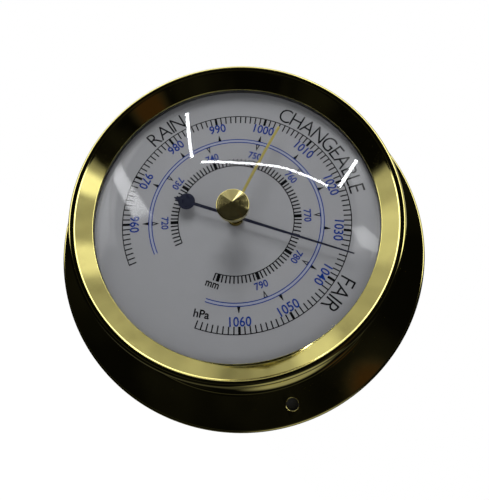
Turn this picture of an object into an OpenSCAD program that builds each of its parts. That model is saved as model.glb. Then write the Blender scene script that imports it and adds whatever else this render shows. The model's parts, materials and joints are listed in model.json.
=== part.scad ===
// Round wall barometer: a spun brass case with a wall flange, a domed glass with a
// set hand, a dial with two pressure scales, and an aneroid movement behind it.
// The origin is the centre of the back, on the wall. The front looks along -Y.
// Inside the modules the dial axis is Z, with Z = 0 on the wall and Y up the dial.

/* [Case] */
// Diameter of the wall flange
flange_d = 125; // [121:0.5:130]
// Outer diameter of the case wall
case_d = 96; // [95:0.25:98]
// Thickness of the spun brass sheet
sheet_t = 1; // [0.8:0.05:1.2]
// Height of the flange face above the wall
flange_h = 3; // [2.6:0.1:3.6]
// Radius of the rolled edge of the flange
rim_r = 2; // [1.5:0.1:2.4]
// Radius of the curve between the case wall and the flange
root_r = 3.5; // [2.5:0.25:4.5]
// Diameter of each screw hole in the flange
screw_hole_d = 4; // [3:0.25:5]
// Distance from the flange's edge to the centre of each screw hole
screw_inset = 6.25; // [5:0.25:8]
// Number of screw holes in the flange
screw_holes = 3; // [3:1:6]

/* [Dial] */
// Height of the dial face above the wall
dial_h = 26.2; // [25.6:0.1:28]
// Thickness of the dial plate
dial_t = 0.6; // [0.4:0.05:0.8]
// Diameter of the hole in the middle of the dial
dial_hole_d = 3; // [2.4:0.1:3.6]
// How far the dial's seat reaches in under the dial
seat_w = 3; // [2:0.25:4]
// Thickness of the dial's seat
seat_t = 1; // [0.8:0.1:1.2]
// Height of the seat ring along the case wall
seat_ring_h = 4; // [3:0.5:6]

/* [Scale] */
// Pressure at the top of the dial, in hectopascals
scale_top = 1010; // [1006:1:1014]
// Angle on the dial of one hectopascal
scale_step = 2.7; // [2.6:0.02:2.8]
// Pressure that the needle shows, in hectopascals
reading = 1034.5; // [960:0.5:1060]
// Pressure that the set hand shows, in hectopascals
set_reading = 1003.5; // [960:0.5:1060]

/* [Bezel] */
// Diameter of the opening in the bezel
sight_d = 85; // [83:0.5:86]
// Height of the bezel's crest above the dial face
crest_rise = 6.95; // [6.6:0.05:7.3]
// Diameter of the bezel's crest
crest_d = 95.5; // [95.1:0.1:95.9]
// Radius of the rounded crest
crest_r = 1.2; // [1.1:0.05:1.35]
// Radius of the bezel's thin inner edge
edge_r = 0.35; // [0.25:0.05:0.45]
// Thickness of the bezel's skirt round the case wall
skirt_t = 0.45; // [0.35:0.05:0.6]
// How far the skirt reaches down the case wall from the crest's centre
skirt_l = 3.85; // [3.4:0.05:5]

/* [Glass] */
// Thickness of the glass
glass_t = 1.5; // [1.2:0.1:1.8]
// How far the glass reaches under the bezel
glass_lap = 1.9; // [1.5:0.1:2.2]
// Radius of the sphere that the outside of the glass belongs to
dome_r = 121.9; // [116:0.5:128]
// Gap between the dial face and the underside of the glass at its edge
glass_edge_rise = 0.41; // [0.3:0.01:0.6]
// Diameter of the hole in the middle of the glass
glass_hole_d = 3.2; // [2.8:0.1:3.6]
// How far the gasket reaches in past the edge of the glass
gasket_w = 2.8; // [2.4:0.1:3.2]
// Height of the gasket's wall round the edge of the glass
gasket_h = 2; // [1.6:0.1:2.2]

/* [Set hand] */
// Diameter of the set hand's knob
knob_d = 9.4; // [8:0.1:11]
// Height of the knob's rim above the crown of the glass
knob_rise = 2.4; // [2:0.1:3.2]
// Thickness of the knob's rim
knob_rim_t = 0.8; // [0.6:0.05:1]
// Height of the knob's cone above its rim
knob_cone_h = 2; // [1.4:0.1:2.6]
// Diameter of the spindle that joins the knob and the set hand
spindle_d = 1.8; // [1.6:0.1:2]
// Length of the set hand
set_hand_l = 31.1; // [26:0.1:33]
// Width of the set hand
set_hand_w = 0.8; // [0.6:0.05:1.2]
// Thickness of the set hand
set_hand_t = 0.3; // [0.2:0.05:0.4]
// Gap between the set hand and the inside of the glass
set_hand_gap = 0.7; // [0.5:0.05:0.9]

/* [Needle] */
// Length of the needle from the centre to its tip
needle_l = 36; // [30:0.5:38]
// Width of the needle at the hub
needle_w = 0.95; // [0.7:0.05:1.2]
// Width of the needle at its tip
needle_tip_w = 0.4; // [0.3:0.05:0.6]
// Thickness of the needle
needle_t = 0.3; // [0.2:0.05:0.4]
// Height of the needle above the dial face
needle_rise = 2.4; // [2:0.1:3]
// Distance from the centre to the needle's round counterweight
weight_reach = 15.4; // [13:0.1:18]
// Diameter of the needle's round counterweight
weight_d = 5.1; // [4:0.1:6]
// Distance from the centre to the end of the needle's tail
tail_reach = 19.5; // [18.6:0.1:22]
// Width of the tail where it leaves the counterweight
tail_w = 4.1; // [3.6:0.1:4.6]
// Diameter of the needle's hub
hub_d = 4.8; // [4:0.1:5.4]

/* [Back cover] */
// Height of the back cover above the wall
cover_h = 2.2; // [1.8:0.1:2.4]
// Thickness of the back cover
cover_t = 0.8; // [0.6:0.05:0.9]
// Height of the cover's edge inside the case
cover_rim_h = 7.5; // [7:0.1:9]
// Diameter of the hole that a screwdriver goes through
cover_hole_d = 7; // [6.4:0.1:8]

/* [Movement] */
// Radius of the movement plate
plate_r = 34; // [33.5:0.25:38]
// Height of the movement plate above the wall
plate_h = 4.6; // [4.4:0.1:4.8]
// Thickness of the movement plate
plate_t = 1.2; // [1:0.1:1.4]
// Diameter of each pillar that carries the dial
dial_pillar_d = 4; // [3.4:0.1:4.6]
// Distance of the dial pillars from the centre
dial_pillar_reach = 30; // [29.5:0.25:31]
// Diameter of each pillar that carries the top plate
arbor_pillar_d = 3.6; // [3.2:0.1:4]
// Distance of the top plate's pillars from the centre
arbor_pillar_reach = 24; // [22.5:0.25:24.5]
// Width of the top plate
top_plate_w = 14; // [12:0.5:16]
// Thickness of the top plate
top_plate_t = 1; // [0.8:0.05:1.1]
// Gap between the top plate and the back of the dial
top_plate_gap = 1.8; // [1.7:0.05:2.2]
// Diameter of the adjusting screw
adjuster_d = 4; // [3.4:0.1:4.4]

/* [Capsule] */
// Radius of the pressure capsule over its soldered rim
capsule_r = 19; // [18:0.25:19.5]
// Thickness of the capsule's sheet
capsule_t = 0.3; // [0.2:0.05:0.4]
// Height from the capsule's rim to each face
capsule_half = 2.2; // [2:0.1:2.3]
// Radius of the smooth middle of each face
capsule_flat_r = 5; // [4.5:0.25:5.5]
// Radius of each ripple in the faces
ripple_r = 1; // [0.9:0.02:1.05]
// Number of ripples in each face
ripples = 6; // [4:1:6]

/* [Linkage] */
// Distance from the centre to the main spring's clamped edge
spring_root = 21; // [20.5:0.1:22]
// Width of the main spring
spring_w = 16; // [14:0.5:18]
// Thickness of the main spring
spring_t = 0.6; // [0.5:0.05:0.8]
// How far the main spring reaches past the centre
spring_reach = 5; // [4.5:0.25:6]
// Distance from the centre to the rocking shaft
shaft_reach = 26; // [25.5:0.25:27]
// Diameter of the rocking shaft
shaft_d = 2; // [1.8:0.1:2.2]
// Length of the arm that pulls the chain
chain_arm_l = 14; // [13:0.25:14.5]
// Length of the arm that the link pushes
link_arm_l = 4.5; // [4:0.1:5]
// Thickness of the two arms
arm_t = 1.2; // [1:0.1:1.4]
// Width of the lever
lever_w = 3; // [2.6:0.1:3.4]
// Thickness of the lever
lever_t = 0.8; // [0.6:0.05:1]
// Diameter of the link's wire
link_d = 0.8; // [0.7:0.05:0.9]
// Radius that the chain winds on
drum_r = 1.26; // [1.2:0.02:1.32]
// Diameter of the pointer arbor
arbor_d = 1.5; // [1.4:0.05:1.7]
// Outer radius of the hairspring
hairspring_r = 5; // [4.5:0.1:5.5]
// Number of turns in the hairspring
hairspring_turns = 5; // [3:1:5]

/* [Hidden] */

BRASS = "#c9a850";
GILT = "#b8963c";
STEEL = "#9a9ea4";
DARK = "#17181f";
COPPER = "#b9773f";
ROUND = 180;
SMALL = 48;

// Clearance between parts that are seated in each other
seat_gap = 0.02;
// Clearance all round a shaft that turns in its hole
run_gap = 0.05;
// Gap between faces that only come close
face_gap = 0.05;
// How far a cutting tool runs past the faces that it cuts
cut_past = 1;

case_r = case_d / 2;
bore_r = case_r - sheet_t;
flange_r = flange_d / 2;
screw_circle_r = flange_r - screw_inset;
dial_back = dial_h - dial_t;
dial_edge_gap = 0.4;
dial_r = bore_r - dial_edge_gap;
wall_drop = 2.65;
case_top = dial_h + crest_rise - crest_r - wall_drop;

sight_r = sight_d / 2;
glass_r = sight_r + glass_lap;
glass_in_r = dome_r - glass_t;
dome_z = dial_h + glass_edge_rise - sqrt(pow(glass_in_r, 2) - pow(glass_r, 2));
crown_h = dome_z + dome_r;
ceiling_h = crown_h - glass_t;
gasket_gap = 0.1;

// The bezel's section: its edge and its crest are circles, joined behind its face
edge_x = sight_r + edge_r;
edge_z = dome_z + sqrt(pow(dome_r + edge_r + seat_gap, 2) - pow(edge_x, 2));
crest_x = crest_d / 2;
crest_z = dial_h + crest_rise - crest_r;
weld = 0.005;
bezel_lap = 1.2;
bezel_drop = 0.8;

bush_lip = 1;
bush_flange_r = glass_hole_d / 2 + bush_lip;
bush_flange_t = 0.35;
clip_t = 0.3;
bush_foot = ceiling_h - clip_t - 4 * face_gap;
knob_gap = 0.3;
knob_z = crown_h + knob_rise;
knob_foot_z = crown_h + bush_flange_t + knob_gap;
knob_wall_in = 0.1;
knob_tip_r = 0.35;
hand_r = glass_in_r - set_hand_gap - set_hand_t;
hand_h = dome_z + hand_r;
hand_hub_h = 1;
hand_hub_r = 2;
hand_neck_r = 1.3;
hand_eye_r = 1.9;

needle_z = dial_h + needle_rise;
hub_gap = 0.5;
hub_z = dial_h + hub_gap;
hub_t = 1;
needle_eye_r = 1.7;
needle_hole_r = 1.12;
arbor_proud = 0.25;
arbor_top = needle_z + needle_t + arbor_proud;

// The stack on the movement plate, from the adjusting screw's bush up to the pin
plate_top = plate_h + plate_t;
bush_shoulder_t = 0.8;
bush_shoulder_w = 2;
bush_wall = 1;
bush_drop = 0.4;
foot_gap = 0.4;
foot_z = plate_top + bush_shoulder_t + foot_gap;
foot_t = 1.2;
boss_r = 3;
capsule_z = foot_z + foot_t + capsule_half + capsule_t / 2;
capsule_top = capsule_z + capsule_half + capsule_t / 2;
boss_t = 1.5;
boss_top = capsule_top + boss_t;
neck_r = 1.3;
spring_lift = 0.85;
spring_z = boss_top + spring_lift;
spring_top = spring_z + spring_t;
spring_hole_r = 1.9;
clamp_t = 1.5;
pin_r = 0.5;
pin_half = 2.9;
pin_z = spring_top + pin_r + face_gap;
head_proud = 1;
head_top = pin_z + head_proud;

// The upper train, hung from the dial
lever_y = -5;
lever_z = spring_top + seat_gap;
lever_start = 1.6;
link_x = shaft_reach + link_arm_l;
top_plate_z = dial_back - top_plate_gap - top_plate_t;
plate_end = 0.8;
chain_drop = 1.3;
chain_z = top_plate_z - chain_drop;
shaft_z = chain_z - chain_arm_l;
cock_t = 0.8;
cock_half_w = 3.5;
cock_end = 2.5;
cock_gap = 1;
cock_z = head_top + cock_gap;
cock_top = cock_z + cock_t;
spacer_reach = 9;
spacer_r = 1.6;
arbor_pivot_r = 0.5;
arbor_pivot_l = 0.1;
spring_h = 0.6;
spring_wire = 0.16;
spring_sides = 16;
stud_r = 0.6;
collet_gap = 0.35;
collet_z = cock_top + collet_gap;
collet_t = 0.8;
collet_r = 1.3;
chain_w = 0.8;
chain_sink = 0.2;
chain_pitch = 1.6;
chain_link_w = 0.5;
chain_strip_t = 0.15;
rivet_r = 0.12;
drum_flange_t = 0.25;
drum_lip = 0.9;

arm_half = 0.8;
arm_hub_r = 1.6;
shaft_front = -11.5;
shaft_back = 8.5;
shaft_end = 0.6;
shaft_pivot_r = 0.45;
post_t = 2.2;
post_w = 5;
cup_r = 0.5;
cup_lip = 0.3;
pivot_screw_out = 0.8;
link_wall = 0.5;
eye_half = 0.5;
collar_gap = 0.4;
collar_t = 0.5;
collar_lip = 0.8;
link_slack = 0.5;

screw_r = 0.9;
screw_head_r = 1.7;
screw_head_t = 0.9;
screw_slot_w = 0.5;
screw_bite = 3;
short_bite = 1;
drill_past = 1;
driver_slot_w = 0.8;
cover_gap = 0.4;

// Angle on the dial, clockwise from the top, of a pressure
function scale_angle(pressure) = (pressure - scale_top) * scale_step;

// Angles of the three dial pillars, anticlockwise from the right
dial_pillar_angles = [45, 135, 270];

// Stands the dial axis out from the wall
module on_wall() {
    rotate([90, 0, 0])
        children();
}

module turned() {
    rotate_extrude($fn = ROUND)
        children();
}

module turned_small() {
    rotate_extrude($fn = SMALL)
        children();
}

// Quarter of a ring, in the first quadrant of its own axes
module quarter_ring(outer, inner) {
    intersection() {
        difference() {
            circle(outer, $fn = SMALL);
            circle(inner, $fn = SMALL);
        }
        square(outer);
    }
}

// Rectangle of a turned section, from one radius and height to another
module band(r0, r1, z0, z1) {
    translate([r0, z0])
        square([r1 - r0, z1 - z0]);
}

module rod(r, z0, z1) {
    translate([0, 0, z0])
        cylinder(r = r, h = z1 - z0, $fn = SMALL);
}

// Rod along Y, about a point given by x and z
module cross_rod(r, x, z, y0, y1) {
    translate([x, y1, z])
        rotate([90, 0, 0])
            cylinder(r = r, h = y1 - y0, $fn = SMALL);
}

module block(x0, x1, y0, y1, z0, z1) {
    translate([x0, y0, z0])
        cube([x1 - x0, y1 - y0, z1 - z0]);
}

// Cheese-head screw with its slot, its head's seat at z = 0 and its shank downwards
module screw(shank) {
    difference() {
        union() {
            rod(screw_head_r, 0, screw_head_t);
            rod(screw_r - seat_gap, -shank, seat_gap);
        }
        block(-screw_head_r, screw_head_r, -screw_slot_w / 2, screw_slot_w / 2,
            screw_head_t / 2, 2 * screw_head_t);
    }
}

// Case

module case_section() {
    band(bore_r, case_r, flange_h + root_r, case_top);
    translate([case_r + root_r, flange_h + root_r])
        rotate(180)
            quarter_ring(root_r + sheet_t, root_r);
    band(case_r + root_r, flange_r - rim_r, flange_h - sheet_t, flange_h);
    translate([flange_r - rim_r, flange_h - rim_r])
        quarter_ring(rim_r, rim_r - sheet_t);
    band(flange_r - sheet_t, flange_r, 0, flange_h - rim_r);
}

module case_body() {
    color(BRASS)
        on_wall()
            difference() {
                turned()
                    case_section();
                for (i = [0 : screw_holes - 1])
                    rotate(90 - i * 360 / screw_holes)
                        translate([screw_circle_r, 0])
                            rod(screw_hole_d / 2, 0, flange_h + cut_past);
            }
}

module dial_seat_ring() {
    color(GILT)
        on_wall()
            turned() {
                band(dial_r - seat_w, bore_r - seat_gap, dial_back - seat_t, dial_back);
                band(bore_r - seat_gap - seat_t, bore_r - seat_gap,
                    dial_back - seat_ring_h, dial_back);
            }
}

module back_cover() {
    color(STEEL)
        on_wall()
            turned() {
                band(cover_hole_d / 2, bore_r - seat_gap, cover_h, cover_h + cover_t);
                band(bore_r - seat_gap - cover_t, bore_r - seat_gap,
                    cover_h, cover_h + cover_rim_h);
            }
}

// Bezel and glass

// Straight strip that joins two circles of different radius, just inside their outlines
module tapered_strip(p0, r0, p1, r1) {
    run = p1 - p0;
    base = atan2(run[1], run[0]);
    lean = acos((r0 - r1) / norm(run));
    function side(p, r, s) = p + (r - weld) * [cos(base + s * lean), sin(base + s * lean)];
    polygon([side(p0, r0, -1), side(p1, r1, -1), side(p1, r1, 1), side(p0, r0, 1)]);
}

module bezel_section() {
    edge = [edge_x, edge_z];
    crest = [crest_x, crest_z];
    skirt_in = case_r + seat_gap;
    translate(edge)
        circle(edge_r, $fn = SMALL);
    translate(crest)
        circle(crest_r, $fn = SMALL);
    tapered_strip(edge, edge_r, crest, crest_r);
    polygon([
        [crest_x - bezel_lap, case_top + face_gap],
        [skirt_in, case_top + face_gap],
        [skirt_in, crest_z],
        crest,
        [crest_x - bezel_lap, crest_z - bezel_drop],
    ]);
    band(skirt_in, case_r + skirt_t, crest_z - skirt_l, crest_z);
}

module bezel_ring() {
    color(BRASS)
        on_wall()
            turned()
                bezel_section();
}

module domed_glass() {
    color("#dfe8ea", 0.3)
        on_wall()
            turned()
                intersection() {
                    translate([0, dome_z])
                        difference() {
                            circle(dome_r, $fn = 4 * ROUND);
                            circle(glass_in_r, $fn = 4 * ROUND);
                        }
                    band(glass_hole_d / 2, glass_r, dial_h, crown_h + cut_past);
                }
}

module glass_gasket() {
    color("#3a3a3a")
        on_wall()
            turned() {
                intersection() {
                    band(glass_r - gasket_w, glass_r + gasket_gap, dial_h, crown_h);
                    translate([0, dome_z])
                        circle(glass_in_r - seat_gap, $fn = 4 * ROUND);
                }
                band(glass_r + gasket_gap, dial_r, dial_h, dial_h + gasket_h);
            }
}

module glass_bush() {
    bush_r = glass_hole_d / 2 - seat_gap;
    color(BRASS)
        on_wall()
            turned_small() {
                band(spindle_d / 2 + run_gap, bush_r, bush_foot, crown_h + bush_flange_t);
                band(spindle_d / 2 + run_gap, bush_flange_r,
                    crown_h + face_gap / 2, crown_h + bush_flange_t);
            }
}

module bush_clip() {
    clip_top = ceiling_h - face_gap;
    color(STEEL)
        on_wall()
            turned_small()
                band(glass_hole_d / 2, bush_flange_r, clip_top - clip_t, clip_top);
}

// Set hand

module set_hand_knob() {
    rim_x = knob_d / 2 - knob_rim_t / 2;
    cone_top = knob_z + knob_rim_t / 2 + knob_cone_h;
    cone_lean = atan(knob_cone_h / rim_x);
    color(BRASS)
        on_wall()
            turned()
                difference() {
                    union() {
                        translate([rim_x, knob_z])
                            circle(knob_rim_t / 2, $fn = SMALL);
                        polygon([
                            [0, knob_z - knob_rim_t / 2],
                            [rim_x, knob_z - knob_rim_t / 2],
                            [rim_x, knob_z] + knob_rim_t / 2 * [sin(cone_lean), cos(cone_lean)],
                            [knob_tip_r, cone_top],
                            [0, cone_top + knob_tip_r * tan(cone_lean)],
                        ]);
                        band(0, knob_d / 2 - knob_wall_in, knob_foot_z, knob_z);
                    }
                    band(0, spindle_d / 2 + seat_gap, 0, knob_z);
                }
}

module set_hand_spindle() {
    color(STEEL)
        on_wall()
            rod(spindle_d / 2, hand_h - hand_hub_h, knob_z - face_gap);
}

module set_hand_hub() {
    color(BRASS)
        on_wall()
            turned_small() {
                band(spindle_d / 2 + seat_gap, hand_hub_r, hand_h - hand_hub_h, hand_h - face_gap);
                band(spindle_d / 2 + seat_gap, hand_neck_r, hand_h - hand_hub_h,
                    bush_foot - 2 * face_gap);
            }
}

module set_hand() {
    color(BRASS)
        on_wall()
            rotate(-scale_angle(set_reading))
                intersection() {
                    translate([0, 0, dial_h])
                        linear_extrude(crown_h - dial_h)
                            difference() {
                                union() {
                                    circle(hand_eye_r, $fn = SMALL);
                                    translate([-set_hand_w / 2, 0])
                                        square([set_hand_w, set_hand_l]);
                                }
                                circle(hand_neck_r + seat_gap, $fn = SMALL);
                            }
                    turned()
                        intersection() {
                            translate([0, dome_z])
                                difference() {
                                    circle(hand_r + set_hand_t, $fn = 4 * ROUND);
                                    circle(hand_r, $fn = 4 * ROUND);
                                }
                            band(0, set_hand_l + cut_past, dial_h, crown_h);
                        }
                }
}

// Dial

module dial_plate() {
    color("#9a9ca2")
        on_wall()
            turned()
                band(dial_hole_d / 2, dial_r, dial_back, dial_h);
}

// Needle

module needle_blade() {
    polygon([
        [-needle_w / 2, -needle_w],
        [needle_w / 2, -needle_w],
        [needle_tip_w / 2, needle_l],
        [-needle_tip_w / 2, needle_l],
    ]);
}

module needle_tail() {
    polygon([
        [-tail_w / 2, -weight_reach],
        [tail_w / 2, -weight_reach],
        [0, -tail_reach],
    ]);
}

module needle() {
    color(DARK)
        on_wall()
            rotate(-scale_angle(reading))
                translate([0, 0, needle_z])
                    difference() {
                        union() {
                            linear_extrude(needle_t)
                                needle_blade();
                            linear_extrude(needle_t)
                                needle_tail();
                            block(-needle_w / 2, needle_w / 2, -weight_reach, 0, 0, needle_t);
                            translate([0, -weight_reach])
                                rod(weight_d / 2, 0, needle_t);
                            rod(needle_eye_r, 0, needle_t);
                        }
                        rod(needle_hole_r, -needle_t, 2 * needle_t);
                    }
}

module pointer_hub() {
    color(BRASS)
        on_wall()
            turned_small() {
                band(arbor_d / 2 + seat_gap, hub_d / 2, hub_z, hub_z + hub_t);
                band(arbor_d / 2 + seat_gap, needle_eye_r, hub_z, needle_z - seat_gap);
                band(arbor_d / 2 + seat_gap, needle_hole_r - seat_gap, hub_z, arbor_top);
            }
}

module pointer_arbor() {
    shoulder_z = cock_top + face_gap + arbor_pivot_l;
    color(STEEL)
        on_wall() {
            rod(arbor_d / 2, shoulder_z, arbor_top);
            rod(arbor_pivot_r, cock_z - arbor_pivot_l, shoulder_z + arbor_pivot_l);
        }
}

module chain_drum() {
    half = chain_w / 2 + face_gap + drum_flange_t;
    inner = arbor_d / 2 + seat_gap;
    color(BRASS)
        on_wall()
            turned_small() {
                band(inner, drum_r - chain_sink, chain_z - half, chain_z + half);
                band(inner, drum_r + drum_lip, chain_z - half, chain_z - half + drum_flange_t);
                band(inner, drum_r + drum_lip, chain_z + half - drum_flange_t, chain_z + half);
            }
}

module hairspring_collet() {
    color(BRASS)
        on_wall()
            turned_small()
                band(arbor_d / 2 + seat_gap, collet_r, collet_z, collet_z + collet_t);
}

module hairspring() {
    r0 = collet_r + seat_gap;
    steps = spring_sides * hairspring_turns;
    pitch = (hairspring_r - spring_wire - r0) / steps;
    function on_spiral(i, shift) =
        let (r = r0 + shift + pitch * i, a = 180 + i * 360 / spring_sides)
            [r * cos(a), r * sin(a)];
    color(STEEL)
        on_wall()
            translate([0, 0, collet_z + (collet_t - spring_h) / 2])
                linear_extrude(spring_h)
                    polygon(concat(
                        [for (i = [0 : steps]) on_spiral(i, 0)],
                        [for (i = [steps : -1 : 0]) on_spiral(i, spring_wire)]
                    ));
}

module hairspring_stud() {
    color(BRASS)
        on_wall()
            translate([-hairspring_r - stud_r, 0])
                rod(stud_r, collet_z, top_plate_z);
}

// Frame of the movement

module at_dial_pillars() {
    for (a = dial_pillar_angles)
        rotate(a)
            translate([dial_pillar_reach, 0])
                children();
}

module at_both(reach) {
    for (side = [-1, 1])
        translate([0, side * reach])
            children();
}

module movement_plate() {
    color(BRASS)
        on_wall()
            difference() {
                translate([0, 0, plate_h])
                    cylinder(r = plate_r, h = plate_t, $fn = ROUND);
                rod(adjuster_d / 2 + bush_wall, 0, 2 * plate_top);
                at_dial_pillars()
                    rod(screw_r, 0, 2 * plate_top);
                at_both(arbor_pillar_reach)
                    rod(screw_r, 0, 2 * plate_top);
                at_clamp_screws()
                    rod(screw_r, 0, 2 * plate_top);
            }
}

module dial_pillars() {
    color(BRASS)
        on_wall()
            at_dial_pillars()
                difference() {
                    rod(dial_pillar_d / 2, plate_top, dial_back);
                    rod(screw_r, 0, plate_top + screw_bite + drill_past);
                }
}

module dial_pillar_screws() {
    color(STEEL)
        on_wall()
            at_dial_pillars()
                translate([0, 0, plate_h])
                    mirror([0, 0, 1])
                        screw(plate_t + screw_bite);
}

module arbor_pillars() {
    color(BRASS)
        on_wall()
            at_both(arbor_pillar_reach)
                difference() {
                    union() {
                        rod(arbor_pillar_d / 2, plate_top, top_plate_z);
                        rod(screw_r - seat_gap, plate_h, plate_top + cut_past);
                    }
                    rod(screw_r, top_plate_z - screw_bite, top_plate_z + cut_past);
                }
}

module top_plate() {
    end = arbor_pillar_reach + arbor_pillar_d / 2 + plate_end;
    color(BRASS)
        on_wall()
            difference() {
                block(-top_plate_w / 2, top_plate_w / 2, -end, end,
                    top_plate_z, top_plate_z + top_plate_t);
                rod(arbor_d / 2 + run_gap, 0, dial_h);
                at_both(arbor_pillar_reach)
                    rod(screw_r, 0, dial_h);
                at_both(spacer_reach)
                    rod(screw_r, 0, dial_h);
            }
}

module plate_screws() {
    color(STEEL)
        on_wall() {
            at_both(arbor_pillar_reach)
                translate([0, 0, top_plate_z + top_plate_t])
                    screw(top_plate_t + screw_bite - drill_past / 2);
            at_both(spacer_reach)
                translate([0, 0, top_plate_z + top_plate_t])
                    screw(top_plate_t + short_bite);
        }
}

module cock_spacers() {
    color(BRASS)
        on_wall()
            at_both(spacer_reach)
                difference() {
                    union() {
                        rod(spacer_r, cock_top, top_plate_z);
                        rod(screw_r - seat_gap, cock_z, cock_top + cut_past / 2);
                    }
                    rod(screw_r, top_plate_z - short_bite - drill_past / 2, top_plate_z + cut_past);
                }
}

module arbor_cock() {
    end = spacer_reach + cock_end;
    color(BRASS)
        on_wall()
            difference() {
                block(-cock_half_w, cock_half_w, -end, end, cock_z, cock_top);
                rod(arbor_pivot_r + run_gap, 0, dial_h);
                at_both(spacer_reach)
                    rod(screw_r, 0, dial_h);
            }
}

// Capsule and main spring

module capsule_half_section() {
    wall_r = capsule_flat_r + 2 * ripple_r * ripples;
    half_t = capsule_t / 2;
    band(0, capsule_flat_r, capsule_half - half_t, capsule_half + half_t);
    for (i = [0 : ripples - 1])
        translate([capsule_flat_r + (2 * i + 1) * ripple_r, capsule_half])
            intersection() {
                difference() {
                    circle(ripple_r + half_t, $fn = SMALL);
                    circle(ripple_r - half_t, $fn = SMALL);
                }
                translate([-2 * ripple_r, i % 2 == 0 ? 0 : -2 * ripple_r])
                    square([4 * ripple_r, 2 * ripple_r]);
            }
    band(wall_r - half_t, wall_r + half_t, 0, capsule_half);
    band(wall_r - half_t, capsule_r, 0, capsule_t);
}

module capsule_upper() {
    color(COPPER)
        on_wall()
            translate([0, 0, capsule_z])
                turned()
                    capsule_half_section();
}

module capsule_lower() {
    color(COPPER)
        on_wall()
            translate([0, 0, capsule_z])
                mirror([0, 0, 1])
                    turned()
                        capsule_half_section();
}

module screw_bush() {
    color(BRASS)
        on_wall()
            turned_small() {
                band(adjuster_d / 2, adjuster_d / 2 + bush_wall - seat_gap,
                    plate_h - bush_drop, plate_top);
                band(adjuster_d / 2, adjuster_d / 2 + bush_shoulder_w,
                    plate_top, plate_top + bush_shoulder_t);
            }
}

module adjusting_screw() {
    r = adjuster_d / 2 - run_gap;
    foot = cover_h + cover_t + cover_gap;
    color(STEEL)
        on_wall()
            difference() {
                rod(r, foot, foot_z - 2 * face_gap);
                block(-adjuster_d, adjuster_d, -driver_slot_w / 2, driver_slot_w / 2,
                    0, foot + driver_slot_w);
            }
}

module capsule_foot() {
    color(BRASS)
        on_wall()
            rod(boss_r, foot_z, foot_z + foot_t);
}

module capsule_head() {
    color(BRASS)
        on_wall()
            difference() {
                union() {
                    rod(boss_r, capsule_top + seat_gap, boss_top);
                    rod(neck_r, boss_top - boss_t / 2, head_top);
                }
                cross_rod(pin_r + seat_gap, 0, pin_z, -2 * neck_r, 2 * neck_r);
            }
}

module head_pin() {
    color(STEEL)
        on_wall()
            cross_rod(pin_r, 0, pin_z, -pin_half, pin_half);
}

module at_clamp_screws() {
    for (y = [-spring_w / 4, spring_w / 4])
        translate([-spring_root - post_w / 2, y])
            children();
}

module spring_bridge() {
    color(STEEL)
        on_wall()
            difference() {
                union() {
                    block(-spring_root - post_w, -spring_root, -spring_w / 2, spring_w / 2,
                        plate_top, spring_z);
                    at_clamp_screws()
                        rod(screw_r - seat_gap, plate_h, plate_top + cut_past);
                }
                at_clamp_screws()
                    rod(screw_r, spring_z - screw_bite - drill_past, spring_z + cut_past);
            }
}

module main_spring() {
    color(STEEL)
        on_wall()
            difference() {
                block(-spring_root - post_w, spring_reach, -spring_w / 2, spring_w / 2,
                    spring_z, spring_top);
                rod(spring_hole_r, 0, dial_h);
                at_clamp_screws()
                    rod(screw_r, 0, dial_h);
            }
}

module spring_clamp() {
    color(STEEL)
        on_wall()
            difference() {
                block(-spring_root - post_w, -spring_root, -spring_w / 2, spring_w / 2,
                    spring_top, spring_top + clamp_t);
                at_clamp_screws()
                    rod(screw_r, 0, dial_h);
            }
}

module clamp_screws() {
    color(STEEL)
        on_wall()
            at_clamp_screws()
                translate([0, 0, spring_top + clamp_t])
                    screw(clamp_t + spring_t + screw_bite);
}

// Linkage

module lever() {
    color(BRASS)
        on_wall()
            difference() {
                block(lever_start, link_x + lever_w / 2, lever_y - lever_w / 2,
                    lever_y + lever_w / 2, lever_z, lever_z + lever_t);
                translate([link_x, lever_y])
                    rod(link_d / 2 + link_slack, 0, dial_h);
            }
}

module link() {
    eye_r = link_d / 2 + link_wall;
    collar_top = lever_z + lever_t + collar_gap;
    color(STEEL)
        on_wall() {
            difference() {
                union() {
                    cross_rod(eye_r, link_x, shaft_z, lever_y - eye_half, lever_y + eye_half);
                    translate([link_x, lever_y])
                        rod(link_d / 2, shaft_z + eye_r - link_wall / 4, collar_top + collar_t);
                }
                cross_rod(link_d / 2 + run_gap, link_x, shaft_z,
                    lever_y - 2 * eye_half, lever_y + 2 * eye_half);
            }
            translate([link_x, lever_y]) {
                rod(link_d / 2 + collar_lip, lever_z - collar_gap - collar_t, lever_z - collar_gap);
                rod(link_d / 2 + collar_lip, collar_top, collar_top + collar_t);
            }
        }
}

module rocking_shaft() {
    color(STEEL)
        on_wall() {
            cross_rod(shaft_d / 2, shaft_reach, shaft_z,
                shaft_front + shaft_end, shaft_back - shaft_end);
            cross_rod(shaft_pivot_r, shaft_reach, shaft_z,
                shaft_front - shaft_end, shaft_back + shaft_end);
        }
}

module link_arm() {
    back = lever_y - 2 * eye_half;
    front = back - arm_t;
    color(BRASS)
        on_wall() {
            difference() {
                union() {
                    cross_rod(arm_hub_r, shaft_reach, shaft_z, front, back);
                    block(shaft_reach, link_x, front, back, shaft_z - arm_half, shaft_z + arm_half);
                    cross_rod(arm_half, link_x, shaft_z, front, back);
                }
                cross_rod(shaft_d / 2 + seat_gap, shaft_reach, shaft_z,
                    front - cut_past, back + cut_past);
            }
            cross_rod(link_d / 2, link_x, shaft_z, back, lever_y + eye_half + shaft_end / 2);
        }
}

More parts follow.
